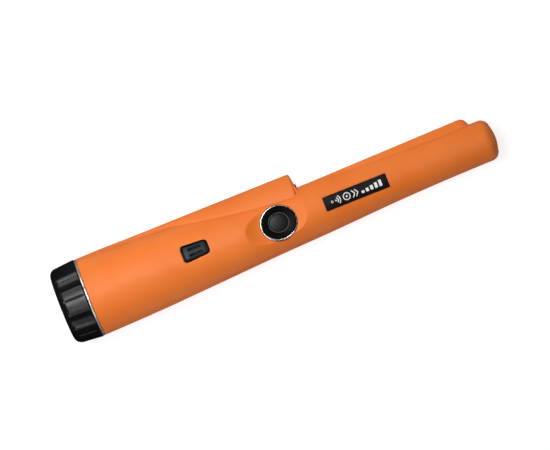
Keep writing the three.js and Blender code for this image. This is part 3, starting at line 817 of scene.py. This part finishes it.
def seam_tongue():
    """A strip inside each seam, so that no light passes between the halves."""
    thickness, half_height, gap = 0.7, 0.9, 0.04
    xs, base = stations()
    inside = (xs > TONGUE_SPAN[0]) & (xs < TONGUE_SPAN[1])
    count = inside.sum()
    verts, faces = [], []
    for angle in (0.0, math.pi):
        reach = outer_radius(xs[inside], base[inside], np.full(count, angle)) - WALL - gap
        first = len(verts)
        for x, r in zip(xs[inside], reach):
            inner = r - thickness
            section = [(r, half_height), (r, -half_height), (inner, -half_height), (inner, half_height)]
            verts += [(x, py * math.cos(angle), z) for py, z in section]
        faces += rings_to_faces(count, 4, first=first)
        faces += [tuple(range(first, first + 4)), tuple(range(len(verts) - 4, len(verts)))]
    return place("seam_tongue", verts, faces, ORANGE, 30)


tongue = seam_tongue()
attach(tongue, "housing")

# ---------------------------------------------------------------- cap, trim ring, seal

def cap_wall(x, radius, angle):
    """The cap's outer wall: six round lobes, with a hollow flute between each two and a notch on each."""
    if radius < 17.6 or x > CAP_LENGTH + 0.01:
        return radius
    lobe = math.pi / 3
    first_lobe = math.pi / 2 + math.radians(-3.5)
    turn = (angle - first_lobe) % lobe
    from_flute = turn - lobe / 2
    inside = FLUTE_RADIUS**2 - (FLUTE_CENTRE * math.sin(from_flute)) ** 2
    valley = FLUTE_CENTRE * math.cos(from_flute) - math.sqrt(inside) if inside > 0 else FAR
    flute = float(smooth_min(np.array(radius), np.array(valley + (radius - CAP_RADIUS)), 0.45))
    share = 0.958455 if radius < 19.0 else 1  # the flutes are a little shallower near the face
    from_notch = (turn if turn < lobe / 2 else turn - lobe) + NOTCH_OFFSET
    notch = NOTCH_DEPTH * math.exp(-((from_notch / NOTCH_WIDTH) ** 2))
    return radius + (flute - radius) * share - notch * (2.5 < x < CAP_LENGTH - 1.0)


def neck_wall(x, radius, angle):
    """The neck's thread: a rounded helical rib that fades in and out at its ends."""
    if not THREAD_START_X < x < THREAD_END_X or radius < 16.9:
        return radius
    phase = (x / THREAD_PITCH - angle / (2 * math.pi)) % 1.0
    rib = max(0.0, 1 - abs(phase - 0.5) / 0.26)
    fade = min(1.0, (x - THREAD_START_X) / 0.8, (THREAD_END_X - x) / 0.8)
    return radius + THREAD_HEIGHT * fade * (rib * rib * (3 - 2 * rib))


def cap_profile():
    """From the middle of the outer face, round the wall and the neck, to the middle of the inside."""
    end_corner = [
        (CAP_CORNER * (1 - math.sin(a)), CAP_END_RADIUS - CAP_CORNER * (1 - math.cos(a)))
        for a in np.radians(np.linspace(90, 0, 13))
    ]
    face = [(0.55, 0.0), (0.55, 6.0), (0.55, 13.2), (0.45, 13.6), (0.12, 13.9), (0.0, 14.2), (0.0, 16.0)]
    wall_xs = np.linspace(CAP_CORNER + 0.5, CAP_LENGTH - 0.5, 12)
    wall = [(x, CAP_END_RADIUS + (x - CAP_CORNER) * CAP_FLARE) for x in wall_xs]
    back = [(CAP_LENGTH - 0.25, 21.1), (CAP_LENGTH - 0.06, 20.96), (CAP_LENGTH, 20.7), (CAP_LENGTH, 17.3)]
    neck = [(CAP_LENGTH + 0.25, 17.02)] + [(x, 17.0) for x in np.linspace(14.8, 23.7, 56)]
    inside = [
        (24.0, 16.7), (24.0, 16.3), (23.8, 16.1), (4.0, 16.1), (3.3, 15.4), (3.0, 14.6), (3.0, 6.0),
        (3.0, 0.0),
    ]
    return face + end_corner + wall + back + neck + inside


def cap_shape(x, radius, angle):
    """The cap's radius all round, but for its inside."""
    return neck_wall(x, cap_wall(x, radius, angle), angle) if x <= 23.9 else radius


cap = turned_x("cap_body", cap_profile(), CAP_BLACK, 288, sharp_deg=38, wobble=cap_shape)
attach(cap, "screw_cap")
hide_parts("battery_cap")

trim_section = [
    (14.25, 17.35), (14.25, 20.2), (14.3, 20.38), (14.45, 20.52), (14.8, 20.58),
    (15.15, 20.52), (15.3, 20.38), (15.36, 20.2), (15.36, 17.35),
]
trim = turned_x("cap_trim", trim_section, TRIM_CHROME, 192)
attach(trim, "seal_ring")
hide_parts("cap_trim_ring")

seal = turned_x("cap_seal", arc(16.4, 18.2, 0.9, 0, 337.5, 15), RUBBER, 160, sharp_deg=60)
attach(seal, "seal_ring")
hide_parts("cap_o_ring")

# ---------------------------------------------------------------- button

# Round things that the photograph shows as a little oval are squeezed across the probe.
DISC_OVAL = 0.94

rim_profile = [
    (9.12, 10.5), (9.58, 10.5), (9.63, 12.7), (9.61, 12.95), (9.54, 13.16), (9.42, 13.32), (9.29, 13.4),
    (9.19, 13.4), (9.13, 13.34), (9.12, 13.2),
]
RIM_INNER, RIM_WIDTH = 9.12, 0.51
rim = turned_button(
    "button_rim", rim_profile, RIM_CHROME, lambda r: 0.915 + (r - RIM_INNER) / RIM_WIDTH * 0.027,
    lambda r: 1 - (r - RIM_INNER) / RIM_WIDTH,
)
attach(rim, "housing")
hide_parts("button_trim_ring")

ring_profile = [
    (5.42, 10.0), (9.04, 10.0), (9.06, 12.85), (9.0, 13.05), (8.88, 13.14), (8.7, 13.17), (8.2, 13.15),
    (7.4, 13.09), (6.4, 13.03), (5.8, 12.98), (5.56, 12.9), (5.46, 12.78), (5.42, 12.6),
]
RING_INNER, RING_WIDTH = 5.42, 3.64
ring = turned_button(
    "button_ring", ring_profile, BEZEL_BLACK, lambda r: DISC_OVAL - (r - RING_INNER) / RING_WIDTH * 0.028,
)
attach(ring, "housing")
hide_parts("button_bezel")

# The lip round the disc is light grey as painted highlight, for the light caught on the disc's edge.
lip_profile = [
    (5.0, 10.0), (5.34, 10.0), (5.36, 12.7), (5.31, 12.85), (5.2, 12.92), (5.09, 12.85), (5.02, 12.7),
]
lip = turned_button("button_highlight_lip", lip_profile, HIGHLIGHT_LIP_GREY, lambda r: DISC_OVAL)
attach(lip, "housing")

disc_profile = [
    (0, 8.9), (6.0, 8.9), (6.05, 9.0), (6.05, 9.6), (6.0, 9.7), (4.88, 9.7), (4.88, 12.3), (4.83, 12.5),
    (4.7, 12.64), (4.5, 12.73), (4.1, 12.84), (3.5, 12.96), (2.8, 13.05), (1.9, 13.13), (1.0, 13.17),
    (0, 13.19),
]
disc = turned_button("button_disc", disc_profile, SATIN_BLACK, lambda r: DISC_OVAL)
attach(disc, "button")
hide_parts("power_button")

# ---------------------------------------------------------------- sound outlet, label, lamp

# The outlet frame is painted shade: a near-black sheet under the pad that shows as the dark band in the gap round
# it.
outlet_shade_frame = skin_patch(
    "outlet_shade_frame", BEZEL_BLACK, OUTLET_LENGTH / 2 - 0.3, OUTLET_WIDTH / 2 - 0.3, OUTLET_X, OUTLET_Y,
    -1.15, 1.3, 1.7, grid=(48, 32), taper=outlet_taper,
)
outlet_pad = skin_patch(
    "outlet_pad", OUTLET_GREY, OUTLET_LENGTH / 2 - 1.1, OUTLET_WIDTH / 2 - 1.0, OUTLET_X, OUTLET_Y,
    -0.75, 1.0, 1.5, crown=0.5, grid=(64, 44), taper=outlet_taper,
)


def outlet_slots():
    """Cutters for the outlet's two slots."""
    length, width, corner, from_middle = 7.2, 1.45, 0.6, 1.45
    outline = rounded_rectangle(length, width, corner)
    return [
        prism("slot_cutter", outline, OUTLET_X, OUTLET_Y + side * from_middle, *CUT_HEIGHTS)
        for side in (-1, 1)
    ]


carve(outlet_shade_frame, *outlet_slots(), sharp_deg=30)
carve(outlet_pad, *outlet_slots(), sharp_deg=30)
for piece in (outlet_shade_frame, outlet_pad):
    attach(piece, "housing")
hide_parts("speaker_grille")

label = skin_patch("label", LABEL_BLACK, LABEL_LENGTH / 2, LABEL_WIDTH / 2, LABEL_X, 0, -0.12, 0.45, 0.4)
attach(label, "housing")
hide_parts("label_plate")

PRINT_LIFT, PRINT_DEPTH = -0.085, 0.025  # from the body's surface; the label's own face lies at -0.12


class Print:
    """Thin printed shapes that lie on the label, gathered into one mesh."""

    def __init__(self):
        self.verts = []
        self.faces = []

    def add(self, verts, faces):
        first = len(self.verts)
        self.verts += verts
        self.faces += [tuple(first + i for i in face) for face in faces]

    def bar(self, x, y, length, height):
        sizes = (length / 2, height / 2, LABEL_X + x, y, PRINT_LIFT, PRINT_DEPTH, 0.12)
        self.add(*patch_mesh(*sizes, grid=(3, 14)))

    def stroke(self, points, width):
        """A line of even width through points that lie close together."""
        path = np.array(points, float)
        along = np.gradient(path, axis=0)
        side = np.stack([-along[:, 1], along[:, 0]], -1) / np.linalg.norm(along, axis=1)[:, None]
        verts = []
        for lift in (PRINT_LIFT, PRINT_LIFT - PRINT_DEPTH):
            for edge in (0.5, -0.5):
                for px, py in path + side * width * edge:
                    radius = float(body_radius(LABEL_X + px)) + lift
                    verts.append((LABEL_X + px, py, math.sqrt(radius**2 - py**2)))
        n = len(path)
        faces = []
        for i in range(n - 1):
            for a, b in ((0, n), (n, 3 * n), (3 * n, 2 * n), (2 * n, 0)):
                faces.append((a + i, a + i + 1, b + i + 1, b + i))
        faces += [(0, n, 3 * n, 2 * n), (n - 1, 3 * n - 1, 4 * n - 1, 2 * n - 1)]
        self.add(verts, faces)


def line(a, b):
    """Points close together on the straight line from a to b."""
    count = max(1, round(math.dist(a, b) / 0.3))
    return [(a[0] + (b[0] - a[0]) * i / count, a[1] + (b[1] - a[1]) * i / count) for i in range(count + 1)]


def label_print():
    """Generic signs, with no lettering: waves from a dot, a ringed target, chevrons and level bars."""
    marks = Print()
    marks.stroke(arc(-12.9, 0, 0.5, 0, 360, 24), 0.3)
    marks.bar(-10.9, 0, 0.75, 0.75)
    marks.stroke(arc(-11.2, 0, 1.5, -55, 55, 14), 0.5)
    marks.stroke(arc(-11.2, 0, 2.6, -50, 50, 18), 0.5)
    marks.stroke(arc(-5.1, 0, 1.75, 0, 360, 40), 0.5)
    marks.bar(-5.1, 0, 0.9, 0.9)
    for x in (-2.1, -0.4):
        marks.stroke(line((x, 1.8), (x + 1.3, 0)), 0.52)
        marks.stroke(line((x, -1.8), (x + 1.3, 0)), 0.52)
    for k in range(5):
        height = 1.3 + 0.5 * k
        marks.bar(3.4 + 2.4 * k, -1.6 + height / 2, 1.5, height)
    return place("label_print", marks.verts, marks.faces, LABEL_WHITE, 20)


marks = label_print()
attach(marks, "housing")

lens_profile = [(LENS_BACK_X, 0), (LENS_BACK_X, LENS_RADIUS - 0.05), (LENS_DOME_X, LENS_RADIUS)]
lens_profile += [
    (LENS_DOME_X + LENS_RADIUS * math.sin(a), LENS_RADIUS * math.cos(a))
    for a in np.radians(np.linspace(12, 78, 8))
]
lens_profile.append((LENS_DOME_X + LENS_RADIUS, 0))
lens = turned_x("lamp_lens", lens_profile, LENS, 48, LIGHT_Y)
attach(lens, "housing")
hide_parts("led_lamp")

# ---------------------------------------------------------------- foam pads

def foam_pad(name, node, body, radius):
    """A die-cut foam disc, pressed between its neighbours: rounded edges, a bulging side and soft dents."""
    corners = [PROBE.inverted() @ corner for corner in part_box(node)]
    low, high = sorted(corner.x for corner in corners)
    edge, bulge = 0.22 * (high - low), 0.05 * radius
    rim = radius - bulge
    profile = [(low + 0.1, 0.0), (low + 0.1, rim * 0.35), (low + 0.02, rim * 0.7), (low, rim - edge)]
    profile += [(low + edge - py, rim - edge + px) for px, py in arc(0, 0, edge, 80, 10, 5)]
    middle = (low + high) / 2
    half = middle - low - edge
    profile += [(middle + t * half, rim + bulge * (1 - t * t)) for t in np.linspace(-0.9, 0.9, 7)]
    profile += [(high - edge + py, rim - edge + px) for px, py in arc(0, 0, edge, 10, 80, 5)]
    profile += [(high, rim - edge), (high - 0.02, rim * 0.7), (high - 0.1, rim * 0.35), (high - 0.1, 0.0)]

    def dents(x, r, angle):
        return r * (1 - 0.006 * (1 + math.sin(5 * angle + 1.3 * x) * math.cos(3 * angle - 0.7 * x)))

    piece = turned_x(name, profile, FOAM, 96, sharp_deg=60, wobble=dents)
    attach(piece, body)
    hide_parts(node)


foam_pad("cap_foam", "cap_pad", "screw_cap", 14.0)
foam_pad("tip_foam", "tip_cushion", "housing", 6.0)

# ---------------------------------------------------------------- floor, lights, camera

# From here on, places and sizes are in the frame's metres.
FLOOR_HALF = 10.0
BACKDROP_RADIUS, BACKDROP_LOW, BACKDROP_HIGH = 9.0, -0.5, 9.0
FLOOR_GLOW = 0.82
WORLD_STRENGTH = 0.06
SOFTBOXES = [  # name, place, size, power
    ("overhead", (-0.11, 0.10, 0.50), (0.30, 0.22), 1.9),
    ("left", (-0.34, 0.45, 0.42), (0.40, 0.25), 0.4),
    ("right", (-0.08, 0.50, 0.45), (0.40, 0.25), 0.95),
    ("fill", (-0.34, -0.35, 0.40), (0.35, 0.35), 0.58),
    ("glint", (-0.16, -0.12, 0.50), (0.10, 0.07), 0.16),
]
AXIS_TURN = math.radians(21.6)  # the probe points up and to the right in the picture
CAMERA_LEAN = 0.017  # from straight overhead, towards the fin's side
CAMERA_DISTANCE = 2.0
PICTURE_WIDTH = 0.27669547  # how wide a strip the picture shows at the probe
SENSOR_MM = 36


def plain_mesh(name, verts, faces, material):
    """A mesh object in the frame's metres."""
    mesh = bpy.data.meshes.new(name)
    mesh.from_pydata(verts, [], faces)
    piece = put_in_scene(name, mesh)
    piece.data.materials.append(material)
    return piece


def floor():
    """A pale floor that glows a little, so that the picture's ground is nearly white."""
    m = Nodes("pale_floor")
    base = m.mix(m.spread(m.noise(3, 2.0), 0.3, 0.7), (0.34, 0.34, 0.34), (0.36, 0.36, 0.36))
    m.set(Base_Color=base, Roughness=0.9, Specular_IOR_Level=0.1, Emission_Strength=FLOOR_GLOW)
    m.shader.inputs["Emission Color"].default_value = (1, 1, 1, 1)
    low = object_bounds()[0][2]
    corners = [(x * FLOOR_HALF, y * FLOOR_HALF, low) for x, y in ((-1, -1), (1, -1), (1, 1), (-1, 1))]
    piece = plain_mesh("floor", corners, [(0, 1, 2, 3)], m.material)
    piece.visible_glossy = False
    piece.visible_shadow = False
    piece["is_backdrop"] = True


def backdrop():
    """A far pale wall all round, seen only by the camera, so that a low view has no dark horizon."""
    m = Nodes("pale_backdrop")
    shade = m.mix(m.noise(0.4, 2.0), (0.97, 0.97, 0.97), (1.0, 1.0, 1.0))
    m.set(Base_Color=(0.0, 0.0, 0.0), Emission_Color=shade, Emission_Strength=FLOOR_GLOW)
    sides = 48
    circle = arc(0, 0, BACKDROP_RADIUS, 0, 360, sides)[:-1]
    verts = [(x, y, z) for z in (BACKDROP_LOW, BACKDROP_HIGH) for x, y in circle]
    piece = plain_mesh("backdrop", verts, rings_to_faces(2, sides), m.material)
    piece.visible_diffuse = False
    piece.visible_glossy = False
    piece.visible_transmission = False
    piece.visible_shadow = False
    piece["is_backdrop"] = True


def look_from(eye, target, up):
    """A matrix at eye that looks at target with up towards the top of the picture."""
    back = (Vector(eye) - Vector(target)).normalized()
    right = Vector(up).cross(back).normalized()
    top = back.cross(right)
    return Matrix.Translation(eye) @ Matrix((right, top, back)).transposed().to_4x4()


def area_light(name, eye, target, size, power):
    """A rectangular white light at eye, turned to target."""
    lamp = bpy.data.lights.new(name, "AREA")
    lamp.shape = "RECTANGLE"
    lamp.size, lamp.size_y = size
    lamp.energy = power
    piece = put_in_scene(name, lamp)
    piece.matrix_world = look_from(eye, target, (0, 1, 0.01))


def camera():
    """Nearly overhead, turned so that the probe's axis runs up to the right."""
    middle = PROBE @ Vector((115.25, -0.3, 9))
    along = (PROBE.to_3x3() @ Vector((1, 0, 0))).normalized()
    across = Vector((0, 1, 0))
    over = along.cross(across)
    eye = middle + (over + across * CAMERA_LEAN).normalized() * CAMERA_DISTANCE
    up = along * math.sin(AXIS_TURN) + across * math.cos(AXIS_TURN)
    data = bpy.data.cameras.new("camera")
    data.sensor_width = SENSOR_MM
    data.lens = SENSOR_MM * CAMERA_DISTANCE / PICTURE_WIDTH
    piece = put_in_scene("camera", data)
    piece.matrix_world = look_from(eye, middle, up)
    bpy.context.scene.camera = piece


def studio():
    """A faint even world, and the soft lights."""
    world = bpy.data.worlds.new("studio")
    world.use_nodes = True
    background = world.node_tree.nodes["Background"]
    background.inputs["Color"].default_value = (1, 1, 1, 1)
    background.inputs["Strength"].default_value = WORLD_STRENGTH
    bpy.context.scene.world = world
    world.cycles_visibility.glossy = False
    bpy.context.scene.view_settings.view_transform = "Standard"
    for name, eye, size, power in SOFTBOXES:
        area_light(name, eye, (0, 0, 0), size, power)


floor()
backdrop()
studio()
camera()
